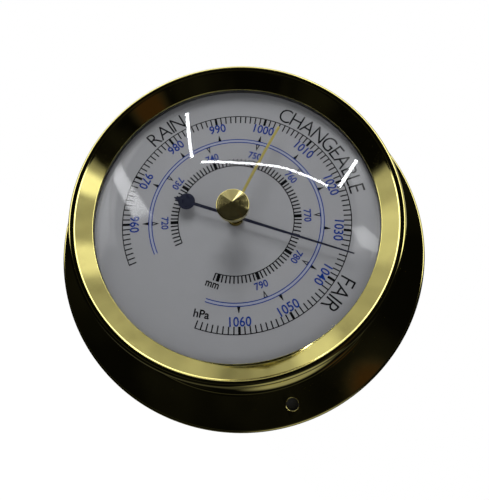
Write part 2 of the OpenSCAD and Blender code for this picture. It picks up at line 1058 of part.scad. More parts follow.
module chain_arm() {
    front = drum_r - arm_t / 2;
    color(BRASS)
        on_wall()
            difference() {
                union() {
                    cross_rod(arm_hub_r, shaft_reach, shaft_z, front, front + arm_t);
                    block(shaft_reach - arm_half, shaft_reach + arm_half, front, front + arm_t,
                        shaft_z, chain_z);
                    cross_rod(arm_half, shaft_reach, chain_z, front, front + arm_t);
                }
                cross_rod(shaft_d / 2 + seat_gap, shaft_reach, shaft_z,
                    front - cut_past, front + arm_t + cut_past);
            }
}

module bearing_posts() {
    color(BRASS)
        on_wall()
            for (y = [shaft_front - post_t, shaft_back])
                difference() {
                    block(shaft_reach - post_w / 2, shaft_reach + post_w / 2, y, y + post_t,
                        plate_top, shaft_z + post_w / 2);
                    cross_rod(screw_r + seat_gap, shaft_reach, shaft_z,
                        y - cut_past, y + post_t + cut_past);
                }
}

module pivot_screws() {
    color(STEEL)
        on_wall()
            difference() {
                union() {
                    cross_rod(screw_r, shaft_reach, shaft_z,
                        shaft_front - post_t - pivot_screw_out, shaft_front + cup_lip);
                    cross_rod(screw_r, shaft_reach, shaft_z,
                        shaft_back - cup_lip, shaft_back + post_t + pivot_screw_out);
                }
                cross_rod(cup_r, shaft_reach, shaft_z,
                    shaft_front - pivot_screw_out, shaft_back + pivot_screw_out);
            }
}

// Flat chain of riveted links from the drum to the arm's tip
module chain() {
    reach = shaft_reach - arm_half - chain_link_w / 2 - seat_gap;
    count = floor(reach / chain_pitch);
    color(STEEL)
        on_wall()
            translate([0, drum_r - chain_sink / 2, chain_z])
                for (i = [0 : count - 1])
                    translate([reach - i * chain_pitch, 0, 0]) {
                        translate([-chain_pitch - chain_link_w / 2, 0, -chain_link_w / 2])
                            translate([0, i % 2 == 0 ? 0 : -chain_strip_t, 0])
                                cube([chain_pitch + chain_link_w, chain_strip_t, chain_link_w]);
                        cross_rod(rivet_r, 0, 0, -chain_strip_t, chain_strip_t);
                    }
}

case_body();
dial_seat_ring();
dial_plate();
glass_gasket();
domed_glass();
bezel_ring();
glass_bush();
bush_clip();
set_hand_knob();
set_hand_spindle();
set_hand_hub();
set_hand();
back_cover();
movement_plate();
dial_pillars();
dial_pillar_screws();
screw_bush();
adjusting_screw();
capsule_foot();
capsule_lower();
capsule_upper();
capsule_head();
head_pin();
spring_bridge();
main_spring();
spring_clamp();
clamp_screws();
lever();
link();
rocking_shaft();
link_arm();
chain_arm();
bearing_posts();
pivot_screws();
chain();
arbor_pillars();
top_plate();
plate_screws();
arbor_cock();
cock_spacers();
pointer_arbor();
chain_drum();
hairspring_collet();
hairspring();
hairspring_stud();
pointer_hub();
needle();
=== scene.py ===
import json
import math

import bmesh
import bpy
from mathutils import Matrix, Vector


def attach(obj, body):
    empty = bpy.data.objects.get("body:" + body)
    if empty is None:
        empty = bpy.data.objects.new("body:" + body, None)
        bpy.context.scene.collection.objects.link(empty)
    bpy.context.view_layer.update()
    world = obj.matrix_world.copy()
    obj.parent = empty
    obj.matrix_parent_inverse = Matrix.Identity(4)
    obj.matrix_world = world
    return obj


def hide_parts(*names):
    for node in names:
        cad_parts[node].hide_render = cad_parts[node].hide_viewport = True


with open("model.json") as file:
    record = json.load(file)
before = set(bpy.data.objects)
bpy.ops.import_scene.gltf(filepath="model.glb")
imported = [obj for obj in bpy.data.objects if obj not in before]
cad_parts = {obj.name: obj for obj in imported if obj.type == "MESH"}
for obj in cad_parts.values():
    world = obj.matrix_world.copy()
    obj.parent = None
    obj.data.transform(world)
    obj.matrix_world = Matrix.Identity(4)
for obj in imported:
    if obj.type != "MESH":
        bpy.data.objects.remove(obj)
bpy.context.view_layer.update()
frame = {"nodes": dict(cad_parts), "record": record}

# Lengths below are in millimetres until a mesh is made. A turned section is given by its
# radius and its height above the wall, and the front of the barometer looks along -Y.
MM = 0.001
SEGMENTS = 360
SHARP = math.radians(32)

# A straight run of a section that is longer than LONG_RUN gets points GUARD from its ends.
LONG_RUN = 1.3
GUARD = 0.06

DIAL_H = 26.2
DIAL_BACK = 25.6
PRINT_T = 0.025
SCREW_R = 56.25
SCREW_HOLES = 3
DOME_R = 121.9
DOME_IN_R = 120.4
DOME_Z = -85.304
KNOB_Z = 38.996

# The set hand: a strip under the glass, from its hub's eye to its tip.
HAND_R = 119.4
HAND_START = 1.34
HAND_END = 31.1
HAND_HALF = 0.4
HAND_EYE = 1.9

# The scales: hectopascals with 1010 at the top, and millimetres of mercury inside them.
SCALE_R = 34.25
SCALE_TOP = 1010.0
SCALE_STEP = 2.7
SCALE_LOW = 952
SCALE_HIGH = 1068
READING = 1034.5
SET_READING = 1003.5
MERCURY = 1.333224
TICK = 0.066 * SCALE_R
BLUE_OUT = 0.767 * SCALE_R
BLUE_IN = 0.739 * SCALE_R
LINE_HALF = 0.14

# The studio, in metres: the dome's radius, and how far the lights stand from the glass.
ROOM_R = 0.5
LIGHT_FAR = 0.4


def row(x, y, z):
    """A point of the barometer, with x and y on the dial and z above the wall, in the row frame."""
    return Vector((x * MM, -z * MM, y * MM))


def on_dial(radius, clock, z):
    """A point at a radius and an angle clockwise from the top of the dial."""
    turn = math.radians(clock)
    return row(radius * math.sin(turn), radius * math.cos(turn), z)


def steps_of(start, end, count):
    """Angles from one to another in equal steps, given in degrees and worked out in radians."""
    return [math.radians(start + (end - start) * i / count) for i in range(count + 1)]


def arc(centre_r, centre_z, radius, start, end, steps=10):
    """Points of a section on a circle, with its angles in degrees anticlockwise from outwards."""
    return [
        (centre_r + radius * math.cos(a), centre_z + radius * math.sin(a))
        for a in steps_of(start, end, steps)
    ]


def rounded(corners, steps=4):
    """A section's corners, each (radius, height, rounding), with the roundings worked out."""
    points = []
    for i, (r, z, size) in enumerate(corners):
        here = Vector((r, z))
        if size == 0:
            points.append((r, z))
            continue
        last = Vector(corners[i - 1][:2]) - here
        after = Vector(corners[(i + 1) % len(corners)][:2]) - here
        half = last.angle(after) / 2
        reach = size / math.tan(half)
        centre = here + (last.normalized() + after.normalized()).normalized() * (size / math.sin(half))
        first = here + last.normalized() * reach - centre
        final = here + after.normalized() * reach - centre
        sweep = first.angle_signed(final)
        for k in range(steps + 1):
            spin = Matrix.Rotation(-sweep * k / steps, 2)
            points.append(tuple(centre + spin @ first))
    return points


def with_guards(points, closed):
    """Adds a point close to each end of every long straight run, so that it stays flat when shaded."""
    result = []
    count = len(points)
    for i, here in enumerate(points):
        result.append(here)
        if i == count - 1 and not closed:
            break
        after = points[(i + 1) % count]
        length = math.dist(here, after)
        if length > LONG_RUN:
            share = min(GUARD / length, 0.1)
            for t in (share, 1 - share):
                result.append(tuple(a + (b - a) * t for a, b in zip(here, after)))
    return result


def added(name, data):
    """A new object in the scene."""
    made = bpy.data.objects.new(name, data)
    bpy.context.scene.collection.objects.link(made)
    return made


def mesh_of(name, bm):
    """Ends a bmesh as a mesh."""
    mesh = bpy.data.meshes.new(name)
    bm.to_mesh(mesh)
    bm.free()
    return mesh


def bridge(bm, loops):
    """Joins each closed loop of corners to the next with a band of faces."""
    for low, high in zip(loops, loops[1:]):
        for i in range(len(low)):
            k = (i + 1) % len(low)
            bm.faces.new([low[i], low[k], high[k], high[i]])


def plain_mesh(name, bm):
    """Ends a bmesh as a new object with outward faces and smooth shading up to its sharp edges."""
    bmesh.ops.remove_doubles(bm, verts=bm.verts, dist=1e-7)
    bmesh.ops.recalc_face_normals(bm, faces=bm.faces)
    mesh = mesh_of(name, bm)
    mesh.shade_smooth()
    mesh.set_sharp_from_angle(angle=SHARP)
    return added(name, mesh)


def turned(name, section, closed=True, segments=SEGMENTS):
    """Turns a section round the dial axis. An open section has both its ends on the axis."""
    section = with_guards(section, closed)
    bm = bmesh.new()
    rings = []
    for r, z in section:
        if r < 1e-6:
            rings.append([bm.verts.new(row(0, 0, z))])
            continue
        ring = []
        for i in range(segments):
            a = 2 * math.pi * i / segments
            ring.append(bm.verts.new(row(r * math.cos(a), r * math.sin(a), z)))
        rings.append(ring)
    pairs = list(zip(rings, rings[1:]))
    if closed:
        pairs.append((rings[-1], rings[0]))
    for low, high in pairs:
        for i in range(segments):
            k = (i + 1) % segments
            corners = [low[i % len(low)], low[k % len(low)], high[k % len(high)], high[i % len(high)]]
            corners = [v for n, v in enumerate(corners) if v not in corners[:n]]
            if len(corners) > 2:
                bm.faces.new(corners)
    return plain_mesh(name, bm)


def finish_piece(piece, material, slot, body, *nodes):
    """Gives a piece its material, its body and the CAD nodes that it stands for."""
    piece.data.materials.clear()
    piece.data.materials.append(material)
    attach(piece, body)
    if nodes:
        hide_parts(*nodes)


def settled(piece, name):
    """A plain mesh of a piece with its modifiers worked in, in the piece's place."""
    bpy.context.view_layer.update()
    depsgraph = bpy.context.evaluated_depsgraph_get()
    mesh = bpy.data.meshes.new_from_object(piece.evaluated_get(depsgraph), depsgraph=depsgraph)
    mesh.name = name
    result = added(name, mesh)
    bpy.data.objects.remove(piece)
    return result


# Materials


class Graph:
    """A node tree under construction, with short ways to add to it."""

    def __init__(self, tree):
        self.nodes = tree.nodes
        self.links = tree.links

    def node(self, kind, inputs=None, **settings):
        made = self.nodes.new(kind)
        for key, value in settings.items():
            setattr(made, key, value)
        for key, value in (inputs or {}).items():
            self.feed(made.inputs[key], value)
        return made

    def feed(self, socket, value):
        if isinstance(value, bpy.types.NodeSocket):
            self.links.new(value, socket)
        else:
            socket.default_value = value

    def math(self, operation, first, second=0.0):
        return self.node("ShaderNodeMath", {0: first, 1: second}, operation=operation).outputs[0]

    def mixed(self, amount, first, second):
        """Ends the tree in a mix of two shaders."""
        mix = self.node("ShaderNodeMixShader", {0: amount, 1: first.outputs[0], 2: second.outputs[0]})
        self.links.new(mix.outputs[0], self.output.inputs["Surface"])


class Surface(Graph):
    """A material under construction, with patterns that stay in place on the object."""

    def __init__(self, name):
        self.material = bpy.data.materials.new(name)
        self.material.use_nodes = True
        super().__init__(self.material.node_tree)
        self.output = self.nodes["Material Output"]
        self.place = self.nodes.new("ShaderNodeTexCoord").outputs["Object"]

    def stretched(self, scale):
        return self.node("ShaderNodeMapping", {"Vector": self.place, "Scale": scale}).outputs[0]

    def noise(self, per_metre, detail=4.0, vector=None, roughness=0.5):
        return self.node(
            "ShaderNodeTexNoise",
            {"Vector": vector or self.place, "Scale": per_metre, "Detail": detail, "Roughness": roughness},
        ).outputs["Fac"]

    def spread(self, value, low, high, to_low=0.0, to_high=1.0, **settings):
        return self.node(
            "ShaderNodeMapRange",
            {"Value": value, "From Min": low, "From Max": high, "To Min": to_low, "To Max": to_high},
            **settings,
        ).outputs["Result"]

    def colours(self, amount, first, second):
        return self.node("ShaderNodeMix", {0: amount, 6: first, 7: second}, data_type="RGBA").outputs[2]

    def length(self, first, second):
        """The length of two sides at a right angle."""
        squares = [self.math("MULTIPLY", side, side) for side in (first, second)]
        return self.math("SQRT", self.math("ADD", *squares))


class Recipe(Surface):
    """A material with a Principled shader. Its even values come first, and its patterns in end."""

    def __init__(self, name, roughness, metallic=0.0, **sockets):
        super().__init__(name)
        self.shader = self.nodes["Principled BSDF"]
        self.shader.inputs["Roughness"].default_value = roughness
        self.shader.inputs["Metallic"].default_value = metallic
        for socket, value in sockets.items():
            self.shader.inputs[socket.replace("_", " ")].default_value = value

    def lathe_lines(self, per_metre, detail=3.0):
        """Fine uneven rings round the dial axis, as turning leaves them."""
        parts = self.node("ShaderNodeSeparateXYZ", {"Vector": self.place}).outputs
        radius = self.length(parts["X"], parts["Z"])
        rings = self.node("ShaderNodeCombineXYZ", {"X": radius, "Y": parts["Y"]})
        return self.noise(per_metre, detail, rings.outputs[0], 0.6)

    def bump(self, height, strength, distance, normal=None):
        made = self.node("ShaderNodeBump", {"Height": height, "Strength": strength, "Distance": distance})
        if normal is not None:
            self.links.new(normal, made.inputs["Normal"])
        return made.outputs["Normal"]

    def end(self, colour, roughness=None, normal=None):
        self.feed(self.shader.inputs["Base Color"], colour)
        if roughness is not None:
            self.feed(self.shader.inputs["Roughness"], roughness)
        if normal is not None:
            self.links.new(normal, self.shader.inputs["Normal"])
        return self.material


class Glow(Surface):
    """The light that a stage piece gives off, with sums to paint it in degrees off local Z."""

    def __init__(self, name, colour, strength):
        super().__init__(name)
        self.nodes.remove(self.nodes["Principled BSDF"])
        self.shader = self.node("ShaderNodeEmission", {"Color": colour, "Strength": strength})
        self.links.new(self.shader.outputs[0], self.output.inputs["Surface"])

    def find_degrees(self):
        """Works out how many degrees each point stands off local Z, across and up."""
        unit = self.node("ShaderNodeVectorMath", {0: self.place}, operation="NORMALIZE").outputs[0]
        x, y, z = self.node("ShaderNodeSeparateXYZ", {"Vector": unit}).outputs
        off = self.math("MULTIPLY", self.math("ARCCOSINE", z), 180 / math.pi)
        flat = self.math("MAXIMUM", self.length(x, y), 0.0001)
        self.across = self.math("DIVIDE", self.math("MULTIPLY", off, x), flat)
        self.up = self.math("DIVIDE", self.math("MULTIPLY", off, y), flat)

    def distance(self, x, y):
        return self.length(self.math("SUBTRACT", self.across, x), self.math("SUBTRACT", self.up, y))

    def step(self, value, low, high):
        return self.spread(value, low, high, interpolation_type="SMOOTHSTEP")

    def spot(self, x, y, reach):
        return self.math("SUBTRACT", 1.0, self.step(self.distance(x, y), reach * 0.4, reach))

    def plus(self, light, level, where):
        """Adds a mask, or another value, times its level."""
        return self.math("ADD", light, self.math("MULTIPLY", where, level))


def rgb(r, g, b):
    return (r, g, b, 1.0)


WHITE = rgb(1, 1, 1)
COOL_WHITE = rgb(0.97, 0.98, 1.0)


def polished_brass():
    m = Recipe("mirror_brass", 0.05, 1.0)
    cloud = m.noise(38.0, 3.0)
    stain = m.noise(210.0, 6.0, roughness=0.65)
    worn = m.spread(stain, 0.52, 0.78)
    bright = m.colours(cloud, rgb(0.85, 0.765, 0.28), rgb(0.80, 0.71, 0.24))
    colour = m.colours(m.math("MULTIPLY", worn, 0.25), bright, rgb(0.60, 0.48, 0.16))
    rough = m.spread(m.noise(520.0, 5.0), 0.3, 0.8, 0.035, 0.095)
    lines = m.lathe_lines(5200.0, 4.0)
    normal = m.bump(lines, 0.018, 0.00004)
    normal = m.bump(m.noise(90.0, 2.0), 0.03, 0.0008, normal)
    return m.end(colour, rough, normal)


def knob_brass():
    m = Recipe("turned_brass", 0.1, 1.0)
    cloud = m.noise(420.0, 4.0)
    colour = m.colours(cloud, rgb(0.80, 0.72, 0.33), rgb(0.68, 0.58, 0.23))
    lines = m.lathe_lines(9000.0, 2.0)
    rough = m.spread(m.noise(1400.0, 4.0), 0.3, 0.8, 0.05, 0.14)
    pits = m.bump(m.noise(1500.0, 3.0), 0.10, 0.0001)
    return m.end(colour, rough, m.bump(lines, 0.12, 0.00005, pits))


def gilt_lacquer():
    m = Recipe("gilt_lacquer", 0.34, 0.45)
    cloud = m.noise(700.0, 4.0)
    colour = m.colours(cloud, rgb(0.50, 0.43, 0.14), rgb(0.36, 0.30, 0.08))
    return m.end(colour, m.spread(cloud, 0.3, 0.7, 0.28, 0.42), m.bump(cloud, 0.15, 0.00002))


def plain_brass():
    m = Recipe("satin_brass", 0.34, 1.0)
    cloud = m.noise(120.0, 5.0)
    colour = m.colours(cloud, rgb(0.76, 0.61, 0.29), rgb(0.60, 0.45, 0.19))
    grain = m.noise(60.0, 6.0, m.stretched((60.0, 60.0, 3.0)), 0.7)
    rough = m.spread(grain, 0.3, 0.7, 0.26, 0.44)
    return m.end(colour, rough, m.bump(grain, 0.25, 0.00003))


def plated_steel():
    m = Recipe("zinc_plate", 0.36, 1.0)
    cloud = m.noise(70.0, 5.0)
    colour = m.colours(cloud, rgb(0.66, 0.67, 0.69), rgb(0.50, 0.52, 0.55))
    spangle = m.node("ShaderNodeTexVoronoi", {"Vector": m.place, "Scale": 260.0})
    grain = m.noise(1500.0, 4.0)
    rough = m.spread(m.math("ADD", spangle.outputs["Distance"], grain), 0.4, 1.4, 0.26, 0.48)
    return m.end(colour, rough, m.bump(grain, 0.18, 0.00003))


def spring_steel():
    m = Recipe("blued_spring", 0.30, 1.0)
    cloud = m.noise(160.0, 4.0)
    colour = m.colours(cloud, rgb(0.40, 0.43, 0.50), rgb(0.30, 0.33, 0.42))
    grain = m.noise(80.0, 5.0, m.stretched((4.0, 60.0, 60.0)), 0.7)
    rough = m.spread(grain, 0.3, 0.7, 0.22, 0.40)
    return m.end(colour, rough, m.bump(grain, 0.2, 0.00002))


def capsule_copper():
    m = Recipe("beryllium_copper", 0.26, 1.0)
    cloud = m.noise(110.0, 5.0)
    colour = m.colours(cloud, rgb(0.80, 0.50, 0.30), rgb(0.62, 0.35, 0.19))
    lines = m.lathe_lines(3000.0, 3.0)
    rough = m.spread(cloud, 0.3, 0.7, 0.18, 0.34)
    return m.end(colour, rough, m.bump(lines, 0.2, 0.00003))


def dial_lacquer():
    m = Recipe("dial_lacquer", 0.45, 0.0, Specular_IOR_Level=0.12)
    cloud = m.noise(45.0, 4.0)
    speck = m.noise(2600.0, 3.0)
    # Painted shade: the white lacquered dial is coloured the even mid grey that it shows in shade.
    colour = m.colours(cloud, rgb(0.255, 0.257, 0.268), rgb(0.237, 0.239, 0.250))
    colour = m.colours(m.spread(speck, 0.62, 0.8, 0.0, 0.07), colour, rgb(0.20, 0.203, 0.213))
    rough = m.spread(speck, 0.3, 0.7, 0.36, 0.50)
    return m.end(colour, rough, m.bump(speck, 0.008, 0.00002))


def ink(name, colour, faded):
    m = Recipe(name, 0.4, Specular_IOR_Level=0.08)
    speck = m.noise(5200.0, 3.0)
    mixed = m.colours(m.spread(speck, 0.45, 0.75), rgb(*colour), rgb(*faded))
    return m.end(mixed, m.spread(speck, 0.3, 0.7, 0.28, 0.46), m.bump(speck, 0.2, 0.00001))


def needle_paint():
    m = Recipe("needle_lacquer", 0.3, 0.0, Specular_IOR_Level=0.12)
    speck = m.noise(900.0, 4.0)
    colour = m.colours(speck, rgb(0.010, 0.011, 0.020), rgb(0.018, 0.020, 0.034))
    return m.end(colour, m.spread(speck, 0.3, 0.7, 0.24, 0.38), m.bump(speck, 0.05, 0.00001))


def gasket_plastic():
    m = Recipe("gasket_plastic", 0.2)
    speck = m.noise(900.0, 4.0)
    colour = m.colours(speck, rgb(0.045, 0.045, 0.045), rgb(0.075, 0.075, 0.078))
    return m.end(colour, m.spread(speck, 0.3, 0.7, 0.14, 0.28), m.bump(speck, 0.1, 0.00003))


def clear_glass():
    m = Recipe("clear_glass", 0.0, 0.0, IOR=1.46, Transmission_Weight=1.0)
    haze = m.noise(160.0, 4.0)
    m.end(m.colours(haze, rgb(0.985, 0.99, 0.99), rgb(0.965, 0.975, 0.98)))
    lamps = m.node("ShaderNodeLightPath").outputs["Is Shadow Ray"]
    m.mixed(lamps, m.shader, m.node("ShaderNodeBsdfTransparent"))
    return m.material


MIRROR = polished_brass()
KNOB = knob_brass()
GILT = gilt_lacquer()
BRASS = plain_brass()
STEEL = plated_steel()
SPRING = spring_steel()
COPPER = capsule_copper()
LACQUER = dial_lacquer()
BLACK_INK = ink("black_ink", (0.003, 0.003, 0.004), (0.008, 0.008, 0.009))
BLUE_INK = ink("blue_ink", (0.004, 0.022, 0.16), (0.010, 0.036, 0.20))
PALE_INK = ink("pale_blue_ink", (0.25, 0.265, 0.33), (0.23, 0.245, 0.31))
PAINT = needle_paint()
GASKET = gasket_plastic()
GLASS = clear_glass()


# Case, bezel and glass


def case_section():
    lip = [(62.38, 0.0), (62.5, 0.12)]
    outside = lip + arc(61.6, 2.1, 0.9, 0, 90, 10) + arc(51.5, 6.5, 3.5, 270, 180, 16)
    mouth = [(48.0, 29.18), (47.88, 29.3), (47.12, 29.3), (47.0, 29.18)]
    inside = arc(51.5, 6.5, 4.5, 180, 270, 16) + arc(60.5, 1.0, 1.0, 90, 0, 10)
    return outside + mouth + inside + [(61.5, 0.1), (61.6, 0.0)]


def case_body():
    case = turned("case_shell", case_section())
    drill_section = [(0, 0.5), (2.0, 0.5)] + arc(2.28, 2.72, 0.28, 180, 90, 6) + [(2.45, 3.03), (0, 3.4)]
    drills = []
    for i in range(SCREW_HOLES):
        drill = turned(f"drill_{i}", drill_section, False, 64)
        drill.location = on_dial(SCREW_R, 360 / SCREW_HOLES * i, 0)
        drills.append(drill)
        cut = case.modifiers.new(f"hole_{i}", "BOOLEAN")
        cut.object = drill
        cut.solver = "EXACT"
    case = settled(case, "case_body_polished")
    for drill in drills:
        bpy.data.objects.remove(drill)
    case.data.set_sharp_from_angle(angle=SHARP)
    finish_piece(case, MIRROR, "polished_brass", "root", "case_body")


def bezel_section():
    edge = arc(42.85, 29.21, 0.35, -69.5, -232.5, 12)
    hollow = [(46.5, 32.452), (46.6, 32.529), (46.7, 32.611), (46.79, 32.69), (46.84, 32.737)]
    crest = arc(47.75, 31.95, 1.2, 136.0, -54.3, 36)
    skirt = [(48.45, 28.2), (48.35, 28.1), (48.12, 28.1), (48.02, 28.2), (48.02, 29.35)]
    return edge + hollow + crest + skirt + [(46.55, 29.35), (46.55, 30.15)]


def dome_arc(radius, start, end, steps):
    """Points on a sphere about the glass's centre, from one radius on the dial to another."""
    points = []
    for i in range(steps + 1):
        r = start + (end - start) * i / steps
        points.append((r, DOME_Z + math.sqrt(radius * radius - r * r)))
    return points


def glass_section():
    outside = dome_arc(DOME_R, 1.66, 44.3, 44)
    rim = [(44.4, outside[-1][1] - 0.12)]
    inside = dome_arc(DOME_IN_R, 44.3, 1.66, 44)
    low = [(44.4, inside[0][1] + 0.12)]
    hole_top = [(1.6, DOME_Z + DOME_R - 0.08)]
    hole_low = [(1.6, DOME_Z + DOME_IN_R + 0.05)]
    return outside + rim + low + inside + hole_low + hole_top


def gasket_section():
    under = dome_arc(DOME_IN_R - 0.02, 44.45, 42.7, 6)
    foot = [(42.6, 27.2), (42.6, 26.28), (42.68, 26.2), (46.52, 26.2), (46.6, 26.28)]
    return foot + [(46.6, 28.05), (46.45, 28.2), (44.6, 28.2), (44.5, 28.1)] + under


def front_pieces():
    case_body()
    finish_piece(turned("bezel_polished", bezel_section()), MIRROR, "polished_brass", "root", "bezel_ring")
    finish_piece(turned("glass_dome", glass_section()), GLASS, "clear_glass", "root", "domed_glass")
    gasket = turned("gasket_ring", gasket_section())
    finish_piece(gasket, GASKET, "gasket_plastic", "root", "glass_gasket")
    plate = rounded([
        (1.5, DIAL_BACK, 0.05), (46.6, DIAL_BACK, 0.08), (46.6, DIAL_H, 0.08), (1.5, DIAL_H, 0.1),
    ])
    finish_piece(turned("dial_face", plate), LACQUER, "dial_print", "root", "dial_plate")
    bush = rounded([
        (0.95, 34.596, 0.05), (1.58, 34.596, 0.05), (1.58, 36.62, 0), (2.6, 36.62, 0.05),
        (2.6, 36.946, 0.12), (0.95, 36.946, 0.05),
    ])
    finish_piece(turned("bush_turned", bush, segments=96), BRASS, "polished_brass", "root", "glass_bush")


# Set hand and needle


def knob_section():
    under = [(0.0, KNOB_Z - 0.03), (0.92, KNOB_Z - 0.03), (0.92, 37.3), (0.98, 37.246)]
    wall = [(4.5, 37.246), (4.6, 37.34), (4.6, KNOB_Z - 0.31), (4.56, KNOB_Z - 0.26)]
    rim = arc(4.3, KNOB_Z, 0.4, -36, 65.7, 12)
    tip = arc(0.0, KNOB_Z + 2.106, 0.25, 65.7, 90, 5)
    return under + wall + rim + tip


def set_hand_strip():
    """A thin strip that follows the inside of the glass, with an eye round its hub."""
    bm = bmesh.new()
    spin = math.radians(clock_of(SET_READING))

    def at(across, along, lift):
        z = DOME_Z + math.sqrt((HAND_R + lift) ** 2 - across ** 2 - along ** 2)
        x = across * math.cos(spin) + along * math.sin(spin)
        y = along * math.cos(spin) - across * math.sin(spin)
        return bm.verts.new(row(x, y, z))

    loops = []
    count = 46
    inset = 0.06
    for i in range(count + 1):
        d = HAND_START + (HAND_END - HAND_START) * i / count
        wide = HAND_HALF
        if d < HAND_EYE:
            wide = max(HAND_HALF, math.sqrt(HAND_EYE ** 2 - d ** 2))
        if d > HAND_END - 0.2:
            wide = HAND_HALF - (d - HAND_END + 0.2) * 0.5
        loops.append([
            at(-wide, d, 0.05), at(-wide + inset, d, 0.0), at(wide - inset, d, 0.0), at(wide, d, 0.05),
            at(wide, d, 0.24), at(wide - inset, d, 0.3), at(0.0, d, 0.315), at(-wide + inset, d, 0.3),
            at(-wide, d, 0.24),
        ])
    bridge(bm, loops)
    bm.faces.new(loops[0])
    bm.faces.new(loops[-1])
    return plain_mesh("set_hand_blade", bm)


def mirrored(points):
    """The same points on the needle's other side, in the outline's order."""
    return [(-x, y) for x, y in reversed(points)]


def needle_outline():
    """The needle's outline, its tip along Y: blade, round counterweight and pointed tail."""
    right = [(0.475 - 0.275 * y / 36.0, y) for y in (9.0, 18.0, 27.0, 35.96)]
    eye = arc(0.0, 0.0, 1.7, 106.3, 253.7, 16)
    weight = arc(0.0, -15.4, 2.55, 100.7, 250.6, 24)
    return right + mirrored(right) + eye + weight + [(0.0, -19.5)] + mirrored(weight) + mirrored(eye)


def needle():
    curve = bpy.data.curves.new("needle_stamped", "CURVE")
    curve.dimensions = "2D"
    curve.fill_mode = "BOTH"
    soft = 0.05
    for points in (needle_outline(), arc(0.0, 0.0, 1.12, 0, 352.5, 47)):
        spline = curve.splines.new("POLY")
        spline.points.add(len(points) - 1)
        for point, (x, y) in zip(spline.points, points):
            point.co = (x * MM, y * MM, 0, 1)
        spline.use_cyclic_u = True
    curve.extrude = (0.15 - soft) * MM
    curve.bevel_depth = soft * MM
    curve.bevel_resolution = 1
    curve.offset = -soft * MM
    piece = settled(added("needle_stamped", curve), "needle_stamped")
    stand = Matrix.Rotation(math.radians(90), 4, "X")
    turn = Matrix.Rotation(math.radians(clock_of(READING)), 4, "Y")
    piece.data.transform(Matrix.Translation(row(0, 0, 28.75)) @ turn @ stand)
    finish_piece(cleaned(piece), PAINT, "needle_paint", "pointer", "needle")


def cleaned(piece):
    """The same mesh with its doubles merged and its faces turned outwards."""
    bm = bmesh.new()
    bm.from_mesh(piece.data)
    name = piece.name
    bpy.data.objects.remove(piece)
    return plain_mesh(name, bm)


def hands():
    knob = turned("knob_turned", knob_section(), False, 256)
    finish_piece(knob, KNOB, "polished_brass", "set_hand", "set_hand_knob")
    blade = set_hand_strip()
    ring = rounded([(1.32, 34.1, 0.04), (1.9, 34.08, 0.06), (1.9, 34.38, 0.08), (1.32, 34.4, 0.05)])
    eye = turned("eye", ring, segments=96)
    bm = bmesh.new()
    bm.from_mesh(blade.data)
    bm.from_mesh(eye.data)
    bm.to_mesh(blade.data)
    bm.free()
    blade.data.shade_smooth()
    blade.data.set_sharp_from_angle(angle=SHARP)
    bpy.data.objects.remove(eye)
    finish_piece(blade, GILT, "polished_brass", "set_hand", "set_hand")
    hub = rounded([
        (0.77, 26.7, 0), (2.4, 26.7, 0.1), (2.4, 27.7, 0.18), (1.7, 27.7, 0), (1.7, 28.58, 0),
        (1.1, 28.58, 0), (1.1, 29.15, 0.12), (0.77, 29.15, 0),
    ])
    finish_piece(turned("hub_turned", hub, segments=128), KNOB, "polished_brass", "pointer", "pointer_hub")
    needle()


# Printing on the dial


def marks_tree():
    """Stands a mark at equal angles round the dial axis, its own Y outwards."""
    tree = bpy.data.node_groups.new("marks_round_dial", "GeometryNodeTree")
    sockets = {}
    for name, kind in (
        ("Mark", "Object"), ("Count", "Int"), ("Radius", "Float"), ("First Angle", "Float"),
        ("Step", "Float"), ("Height", "Float"), ("Ink", "Material"),
    ):
        socket = tree.interface.new_socket(name=name, in_out="INPUT", socket_type=f"NodeSocket{kind}")
        sockets[name] = socket.identifier
    tree.interface.new_socket(name="Geometry", in_out="OUTPUT", socket_type="NodeSocketGeometry")
    g = Graph(tree)
    given = g.node("NodeGroupInput").outputs
    line = g.node("GeometryNodeMeshLine", {"Count": given["Count"]})
    number = g.node("GeometryNodeInputIndex").outputs[0]
    angle = g.math("ADD", given["First Angle"], g.math("MULTIPLY", number, given["Step"]))
    place = g.node("ShaderNodeCombineXYZ", {
        "X": g.math("MULTIPLY", given["Radius"], g.math("SINE", angle)),
        "Y": g.math("MULTIPLY", given["Height"], -1.0),
        "Z": g.math("MULTIPLY", given["Radius"], g.math("COSINE", angle)),
    })
    put = g.node("GeometryNodeSetPosition", {"Geometry": line.outputs[0], "Position": place.outputs[0]})
    shape = g.node("GeometryNodeObjectInfo", {"Object": given["Mark"]})
    here = g.node("GeometryNodeInputPosition").outputs[0]
    parts = g.node("ShaderNodeSeparateXYZ", {0: here}).outputs
    turn = g.node("ShaderNodeCombineXYZ", {"Y": g.math("ARCTAN2", parts["X"], parts["Z"])})
    stand = g.node("GeometryNodeInstanceOnPoints", {
        "Points": put.outputs[0], "Instance": shape.outputs["Geometry"], "Rotation": turn.outputs[0],
    })
    real = g.node("GeometryNodeRealizeInstances", {0: stand.outputs[0]})
    inked = g.node("GeometryNodeSetMaterial", {"Geometry": real.outputs[0], "Material": given["Ink"]})
    g.node("NodeGroupOutput", {0: inked.outputs[0]})
    return tree, sockets


MARKS, MARK_SOCKETS = marks_tree()
PRINTED = {"black": [], "blue": [], "pale": []}
INKS = {"black": BLACK_INK, "blue": BLUE_INK, "pale": PALE_INK}


def outline_mark(name, outline, inner=None):
    """A printed mark lying on the dial, its outline given across and outwards from its middle."""
    bm = bmesh.new()

    def ring(points, lift):
        return [bm.verts.new((x * MM, -lift * MM, y * MM)) for x, y in points]

    low, high = ring(outline, 0), ring(outline, PRINT_T)
    if inner is None:
        bm.faces.new(low)
        bm.faces.new(high)
        bridge(bm, [low, high])
    else:
        low_in, high_in = ring(inner, 0), ring(inner, PRINT_T)
        bridge(bm, [low, high, high_in, low_in, low])
    return plain_mesh(name, bm)


